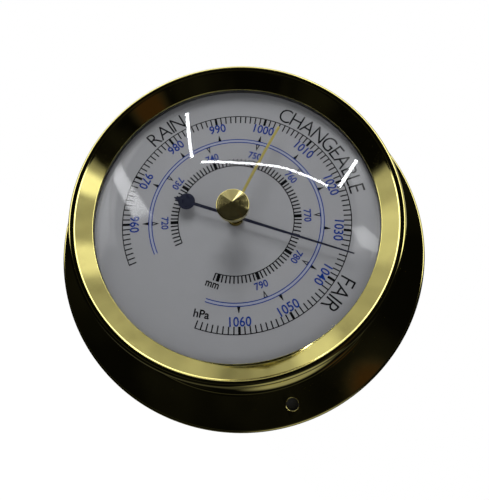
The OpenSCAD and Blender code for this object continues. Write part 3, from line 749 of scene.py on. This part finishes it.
def row_of_marks(ink_name, mark, count, radius, first, step):
    """Repeats a mark round the dial and keeps the result for its ink's piece."""
    carrier = added("marks", bpy.data.meshes.new("marks"))
    modifier = carrier.modifiers.new("marks", "NODES")
    modifier.node_group = MARKS
    values = {
        "Mark": mark, "Count": count, "Radius": radius * MM, "First Angle": math.radians(first),
        "Step": math.radians(step), "Height": DIAL_H * MM, "Ink": INKS[ink_name],
    }
    for name, value in values.items():
        modifier[MARK_SOCKETS[name]] = value
    PRINTED[ink_name].append(settled(carrier, "marks_done"))
    bpy.data.objects.remove(mark)


def bar(width, length):
    w = width / 2
    h = length / 2
    return outline_mark("bar", [(-w, -h), (w, -h), (w, h), (-w, h)])


def printed_arc(ink_name, inner, outer, start, end):
    """A printed band between two radii and two angles clockwise from the top."""
    steps = max(8, int(abs(end - start) / 1.2))
    top = DIAL_H + PRINT_T
    bm = bmesh.new()
    loops = []
    for i in range(steps + 1):
        clock = start + (end - start) * i / steps
        corners = ((inner, DIAL_H), (outer, DIAL_H), (outer, top), (inner, top))
        loops.append([bm.verts.new(on_dial(r, clock, z)) for r, z in corners])
    bridge(bm, loops)
    bm.faces.new(loops[0])
    bm.faces.new(loops[-1])
    PRINTED[ink_name].append(plain_mesh("band", bm))


def printed_line(ink_name, radius, start, end):
    printed_arc(ink_name, radius - LINE_HALF, radius + LINE_HALF, start, end)


def lettering(ink_name, words, size, radius, clock, upright, squeeze=1.0, thin=0.0, lean=0.0):
    """Short text on the dial, its middle at a radius and an angle, with its tops out or in."""
    curve = bpy.data.curves.new("lettering", "FONT")
    curve.body = words
    curve.size = size * MM
    curve.align_x = "CENTER"
    curve.align_y = "CENTER"
    curve.offset = -thin * MM
    curve.extrude = PRINT_T * MM / 2
    curve.resolution_u = 3
    piece = settled(added("lettering", curve), "letters")
    low = min(v.co.y for v in piece.data.vertices)
    high = max(v.co.y for v in piece.data.vertices)
    centre = Matrix.Translation((0, -(low + high) / 2, PRINT_T * MM / 2))
    stand = Matrix.Rotation(math.radians(90), 4, "X")
    flip = 0 if upright else 180
    turn = Matrix.Rotation(math.radians(clock + flip + lean), 4, "Y")
    narrow = Matrix.Diagonal((squeeze, 1, 1, 1))
    place = Matrix.Translation(on_dial(radius, clock, DIAL_H))
    piece.data.transform(place @ turn @ stand @ narrow @ centre)
    PRINTED[ink_name].append(piece)


def letter_width(letter, size):
    curve = bpy.data.curves.new("measure", "FONT")
    curve.body = letter
    curve.size = size
    text = added("measure", curve)
    bpy.context.view_layer.update()
    wide = text.dimensions.x
    bpy.data.objects.remove(text)
    return wide


def word_on_arc(word, size, radius, middle, gap, squeeze=1.0, thin=0.0):
    """A word with its letters spread round the dial, its middle at an angle, tops outwards."""
    widths = [letter_width(c, size) * squeeze for c in word]
    run = sum(widths) + gap * (len(word) - 1)
    at = -run / 2
    for letter, wide in zip(word, widths):
        clock = middle + math.degrees((at + wide / 2) / radius)
        lettering("black", letter, size, radius, clock, True, squeeze, thin)
        at += wide + gap


def clock_of(pressure):
    """Where the scale has a pressure, in degrees clockwise from the top."""
    return (pressure - SCALE_TOP) * SCALE_STEP


def figures(values, unit, size, radius):
    """Blue figures round a scale, with their tops out on the upper half and in on the lower."""
    for value in values:
        clock = clock_of(value * unit)
        lettering("blue", str(value), size, radius, clock, abs(clock) <= 90, 0.9, -0.06)


def pressure_scale():
    """Hectopascals: a black line with ticks inside, its figures, and a blue band with darts."""
    first = clock_of(SCALE_LOW)
    last = clock_of(SCALE_HIGH)
    tens = clock_of(960)
    middle = SCALE_R - TICK / 2
    printed_line("black", SCALE_R, clock_of(SCALE_LOW - 0.1), clock_of(SCALE_HIGH + 0.1))
    row_of_marks("black", bar(0.38, TICK), 117, middle, first, SCALE_STEP)
    row_of_marks("black", bar(0.75, TICK), 11, middle, tens, 10 * SCALE_STEP)
    figures(range(960, 1061, 10), 1, 3.9, 0.893 * SCALE_R)
    for radius in (BLUE_OUT, BLUE_IN):
        printed_line("blue", radius, first, last)
    printed_arc("pale", BLUE_IN + 0.15, BLUE_OUT - 0.15, first, last)
    high = 0.823 * SCALE_R - BLUE_OUT
    dart = outline_mark("dart", [(-0.5, -high / 2), (0.5, -high / 2), (0.07, high / 2), (-0.07, high / 2)])
    row_of_marks("black", dart, 11, BLUE_OUT + high / 2, tens, 10 * SCALE_STEP)


def mercury_scale():
    """Millimetres of mercury: a black line with ticks outside, its figures and hollow arrows."""
    step = MERCURY * SCALE_STEP
    tens = clock_of(720 * MERCURY)
    inner = 0.508 * SCALE_R
    middle = inner + TICK / 2
    first = clock_of(714 * MERCURY)
    printed_line("black", inner, first, clock_of(801 * MERCURY))
    row_of_marks("black", bar(0.42, TICK), 88, middle, first, step)
    row_of_marks("black", bar(1.0, TICK), 9, middle, tens, 10 * step)
    figures(range(720, 791, 10), MERCURY, 3.0, 0.624 * SCALE_R)
    top = BLUE_IN - 0.11
    tip = 0.674 * SCALE_R
    half = (top - tip) / 2
    wide = 0.018 * SCALE_R
    outer = [(-wide, half), (0.0, -half), (wide, half)]
    inside = [(-wide + 0.32, half - 0.18), (0.0, -half + 0.95), (wide - 0.32, half - 0.18)]
    arrow = outline_mark("arrow", outer, inside)
    row_of_marks("black", arrow, 8, (top + tip) / 2, tens, 10 * step)


def dial_printing():
    """Prints the scales and words, and joins all the marks of an ink into one piece."""
    pressure_scale()
    mercury_scale()
    for word, middle in (("RAIN", 980.5), ("CHANGEABLE", 1012.5), ("FAIR", 1041.5)):
        word_on_arc(word, 6.9, 1.092 * SCALE_R, clock_of(middle), 0.3, 0.9, 0.05)
    lettering("black", "hPa", 3.3, 29.9, 156.0, False, 1.0, -0.07, -8)
    lettering("black", "mm", 3.2, 21.0, 155.9, False, 0.85, -0.08)
    for ink_name, pieces in PRINTED.items():
        bm = bmesh.new()
        for piece in pieces:
            bm.from_mesh(piece.data)
            bpy.data.objects.remove(piece)
        mesh = mesh_of(f"printing_{ink_name}", bm)
        mesh.polygons.foreach_set("material_index", [0] * len(mesh.polygons))
        finish_piece(added(mesh.name, mesh), INKS[ink_name], "dial_print", "root")


# Back and movement: the CAD pieces keep their shapes and get soft edges and finishes


def back_cover():
    """The pressed steel cover in the back of the case."""
    section = rounded([
        (3.5, 2.2, 0.15), (46.98, 2.2, 0.5), (46.98, 9.7, 0.12), (46.18, 9.7, 0.12),
        (46.18, 3.0, 0.3), (3.5, 3.0, 0.15),
    ], 6)
    finish_piece(turned("cover_pressed", section), STEEL, "plated_steel", "root", "back_cover")


def soft_edges(node):
    """Rounds off the sharp edges of a CAD piece."""
    piece = frame["nodes"][node]
    weld = piece.modifiers.new("weld", "WELD")
    weld.merge_threshold = 1e-6
    bevel = piece.modifiers.new("edges", "BEVEL")
    bevel.width = 0.08 * MM
    bevel.segments = 2
    bevel.limit_method = "ANGLE"
    bevel.angle_limit = math.radians(40)
    bevel.harden_normals = False


FINISHES = {
    "plain_brass": BRASS, "polished_brass": BRASS, "plated_steel": STEEL, "spring_steel": SPRING,
    "capsule_copper": COPPER,
}


def carried_over():
    """Finishes the CAD pieces that no piece of the scene replaces."""
    for part in frame["record"]["subparts"]:
        piece = frame["nodes"][part["node"]]
        if piece.hide_render:
            continue
        piece.data.materials.clear()
        piece.data.materials.append(FINISHES[part["material_slot"]])
    for node in (
        "movement_plate", "top_plate", "arbor_cock", "spring_bridge", "spring_clamp", "main_spring",
        "lever", "bearing_posts", "link_arm", "chain_arm",
    ):
        soft_edges(node)


# Camera, floor and light


def camera():
    """The photograph's camera, as the rings of the dial, bezel and flange give it."""
    data = bpy.data.cameras.new("camera")
    data.lens = 36
    data.sensor_width = 36
    data.clip_start = 0.002
    data.clip_end = 20
    holder = added("camera", data)
    right = Vector((0.73115, 0.05426, 0.68006))
    up = Vector((-0.6458, -0.26631, 0.71556))
    back = Vector((0.21994, -0.96236, -0.15967))
    turn = Matrix((right, up, back)).transposed().to_4x4()
    holder.matrix_world = Matrix.Translation((0.04088, -0.16848, -0.02878)) @ turn
    bpy.context.scene.camera = holder
    return holder.matrix_world.copy()


def studio_world():
    """Soft even light on the object, with white for the eye and for what brass and glass mirror."""
    world = bpy.data.worlds.new("studio")
    bpy.context.scene.world = world
    world.use_nodes = True
    g = Graph(world.node_tree)
    g.nodes.clear()
    g.output = g.node("ShaderNodeOutputWorld")
    path = g.node("ShaderNodeLightPath").outputs
    seen = g.math("MAXIMUM", path["Is Camera Ray"], path["Is Glossy Ray"])
    seen = g.math("MAXIMUM", seen, path["Is Transmission Ray"])
    seen = g.math("MULTIPLY", seen, g.math("LESS_THAN", path["Diffuse Depth"], 0.5))
    soft = g.node("ShaderNodeBackground", {"Color": WHITE, "Strength": 0.58})
    white = g.node("ShaderNodeBackground", {"Color": WHITE})
    g.mixed(seen, soft, white)


def floor():
    bm = bmesh.new()
    bmesh.ops.create_grid(bm, x_segments=2, y_segments=2, size=6)
    mesh = mesh_of("floor", bm)
    plane = added("floor", mesh)
    plane.location = (0, 0, -0.55)
    m = Recipe("pale_floor", 0.9, Specular_IOR_Level=0.0)
    m.end(rgb(0.86, 0.86, 0.86))
    path = m.node("ShaderNodeLightPath").outputs
    seen = m.math("MAXIMUM", path["Is Camera Ray"], path["Is Glossy Ray"])
    white = m.node("ShaderNodeEmission", {"Strength": 1.165})
    m.mixed(m.math("MULTIPLY", seen, 0.8), m.shader, white)
    mesh.materials.append(m.material)


def lamp(name, place, target, size, power):
    """A round lamp that lights the object and isn't mirrored in it."""
    data = bpy.data.lights.new(name, "AREA")
    data.shape = "DISK"
    data.size = size
    data.energy = power
    holder = added(name, data)
    away = (Vector(place) - Vector(target)).normalized()
    holder.matrix_world = Matrix.Translation(place) @ away.to_track_quat("Z", "Y").to_matrix().to_4x4()
    holder.visible_glossy = False
    holder.visible_transmission = False


def studio_card(name, mesh, material):
    """A reflector or black card that only reflections see."""
    card = added(name, mesh)
    mesh.materials.append(material)
    card.visible_camera = False
    card.visible_diffuse = False
    card.visible_transmission = False
    card.visible_shadow = False
    return card


def room_light(m):
    """Paints the room in the dome: dark round its middle, pale above, and a few spots of light."""
    m.find_degrees()
    off = m.distance(-7.2, 35)
    outside = m.step(off, 50.8, 52.2)
    upper = m.step(m.plus(m.up, 0.045, m.across), 13, 18)
    bright = 0.42
    for x, y, reach, level in (
        (-60, 42, 15, 0.30), (-35, 83, 11, 0.30), (-13, 90, 13, -0.15), (43.6, 50, 9, 0.60),
        (45, 21, 6, 0.85),
    ):
        bright = m.plus(bright, level, m.spot(x, y, reach))
    bright = m.math("ADD", bright, m.spread(m.noise(16.0, 3.0), 0.3, 0.7, -0.09, 0.09))
    ring = m.math("SUBTRACT", m.step(off, 59, 62), m.step(off, 71, 75))
    bright = m.plus(bright, 2.4, ring)
    light = m.math("MULTIPLY", m.math("MULTIPLY", outside, upper), bright)

    # Inside the dark middle, light for the knob alone: the glass's sharp reflections don't see it.
    knob = m.math("MULTIPLY", m.step(m.up, 67, 69), 0.40)
    knob = m.plus(knob, 0.5, m.spot(-43, 73, 4))
    knob = m.plus(knob, 3.0, m.spot(21, 78, 8))
    knob = m.plus(knob, 0.03, m.step(off, 44, 47))
    sharp = m.node("ShaderNodeLightPath").outputs["Is Singular Ray"]
    inside = m.math("MULTIPLY", m.math("SUBTRACT", 1.0, outside), m.math("SUBTRACT", 1.0, sharp))
    light = m.math("ADD", light, m.math("MULTIPLY", inside, knob))

    # The low light, and brown patches in a faint haze.
    light = m.math("ADD", light, m.spread(m.up, -62, -80, 0.0, 0.05))
    light = m.plus(light, 0.3, m.spot(25, -60, 34))
    brown = m.math("ADD", m.spot(13, 10, 5), m.spot(26, -11, 9))
    haze = m.plus(m.spread(m.noise(7.0, 2.0), 0.5, 0.75, 0.002, 0.008), 0.03, brown)
    m.feed(m.shader.inputs["Strength"], m.math("ADD", light, haze))
    m.feed(m.shader.inputs["Color"], m.colours(brown, WHITE, rgb(1.0, 0.5, 0.25)))


def dark_studio(view):
    """The dark room that the photograph's brass mirrors, bright round its edges: a dome that only
    reflections see. Its local Z points at the camera, and its light is painted in degrees off Z."""
    bm = bmesh.new()
    rings = []
    for i in range(1, 44):
        a = math.radians(4 * i)
        wide = ROOM_R * math.sin(a)
        high = ROOM_R * math.cos(a)
        around = [math.radians(5 * k) for k in range(72)]
        rings.append([bm.verts.new((wide * math.cos(b), wide * math.sin(b), high)) for b in around])
    bm.faces.new(rings[0])
    bridge(bm, rings)
    mesh = mesh_of("dark_studio", bm)
    m = Glow("dark_studio", WHITE, 1.0)
    room_light(m)
    depth = m.node("ShaderNodeLightPath").outputs["Glossy Depth"]
    m.mixed(m.math("GREATER_THAN", depth, 0.5), m.node("ShaderNodeBsdfTransparent"), m.shader)
    card = studio_card("dark_studio", mesh, m.material)
    card.visible_transmission = True
    card.matrix_world = Matrix.Translation((0, -0.03, 0)) @ view.to_3x3().to_4x4()


def seen_in_glass(view, points):
    """Where lights stand that the camera sees mirrored in the glass at points of the dial."""
    middle = row(0, 0, DOME_Z)
    places = []
    for radius, clock in points:
        here = on_dial(radius, clock, DOME_Z + math.sqrt(DOME_R ** 2 - radius ** 2))
        away = (here - middle).normalized()
        sight = (here - view.translation).normalized()
        places.append(here + (sight - 2 * sight.dot(away) * away) * LIGHT_FAR)
    return places


def only_in_glass(m, fade):
    """Keeps a light to the glass's sharp reflections, and lets the brass look past it."""
    sharp = m.node("ShaderNodeLightPath").outputs["Is Singular Ray"]
    m.mixed(m.math("MULTIPLY", sharp, fade), m.node("ShaderNodeBsdfTransparent"), m.shader)


def light_strip(name, view, points, width, strength):
    """A thin bright strip that mirrors in the glass through points of the dial."""
    places = seen_in_glass(view, points)
    bm = bmesh.new()
    pairs = []
    for i, here in enumerate(places):
        ahead = places[min(i + 1, len(places) - 1)] - places[max(i - 1, 0)]
        side = (here - row(0, 0, 30)).cross(ahead).normalized() * (width * MM / 2)
        pairs.append((bm.verts.new(here - side), bm.verts.new(here + side)))
    for low, high in zip(pairs, pairs[1:]):
        bm.faces.new([low[0], low[1], high[1], high[0]])
    m = Glow(name, COOL_WHITE, strength)
    studio_card(name, mesh_of(name, bm), m.material)
    only_in_glass(m, 1.0)


def light_panel(name, view, corners, strength):
    """A broad light, soft at its edges, that mirrors in the glass between points of the dial."""
    places = seen_in_glass(view, corners)
    middle = sum(places, Vector()) / len(places)
    bm = bmesh.new()
    glow = bm.verts.layers.float.new("glow")
    rings = []
    for share, level in ((1.35, 0.0), (1.15, 0.35), (0.9, 0.85), (0.6, 1.0)):
        ring = [bm.verts.new(middle + (place - middle) * share) for place in places]
        for corner in ring:
            corner[glow] = level
        rings.append(ring)
    bridge(bm, rings)
    bm.faces.new(rings[-1])
    m = Glow(name, COOL_WHITE, strength)
    fade = m.node("ShaderNodeAttribute", attribute_name="glow").outputs["Fac"]
    m.feed(m.shader.inputs["Strength"], m.math("MULTIPLY", fade, strength))
    studio_card(name, mesh_of(name, bm), m.material)
    only_in_glass(m, fade)


def glass_lights(view):
    """The lights that show in the glass, each by the radii and clock angles of its corners."""
    light_strip("strip_left", view, [(37.0, 293.0), (20.6, 280.1)], 9, 25)
    light_strip("strip_long", view, [(17.7, 284.1), (14.2, 324.4), (19.4, 6.9), (28.1, 31.9)], 8, 25)
    light_strip("strip_right", view, [(40.3, 22.1), (31.2, 33.6)], 9, 25)
    light_panel("window", view, [(41.5, 248.5), (38.9, 252.9), (24.2, 226.6), (28.9, 223.9)], 7)
    light_panel("pale_wall", view, [(45.5, 257.9), (43.0, 260.0), (37.0, 219.0), (41.5, 208.0)], 1.6)
    far = [(33.9, 55.6), (37.3, 53.4), (43.8, 58.8), (43.9, 63.6), (37.0, 62.9)]
    light_panel("far_window", view, far, 5)


def wall_behind():
    """A near-black sheet of painted shade in the flange's shadow on the wall, seen only from in front,
    through the screw holes.
    """
    bm = bmesh.new()
    bridge(bm, [[bm.verts.new(on_dial(r, 5 * k, 0.0)) for k in range(72)] for r in (50.0, 60.8)])
    m = Recipe("shaded_wall", 0.5, Specular_IOR_Level=0.0)
    # Painted shade: the sheet is near black and stands in for the shade behind the flange.
    m.end(rgb(0.03, 0.03, 0.03))
    behind = m.node("ShaderNodeNewGeometry").outputs["Backfacing"]
    m.mixed(behind, m.shader, m.node("ShaderNodeBsdfTransparent"))
    wall = studio_card("wall_behind", mesh_of("wall_behind", bm), m.material)
    wall.visible_camera = True
    wall.visible_glossy = False


def studio():
    bpy.context.scene.view_settings.view_transform = "Standard"
    view = camera()
    studio_world()
    floor()
    wall_behind()
    lamp("key", (-0.19, -0.26, 0.21), (0, -0.02, 0), 0.20, 1.35)
    lamp("fill", (0.34, -0.42, -0.02), (0, -0.02, 0), 0.30, 0.5)
    dark_studio(view)
    glass_lights(view)


front_pieces()
hands()
dial_printing()
back_cover()
carried_over()
studio()
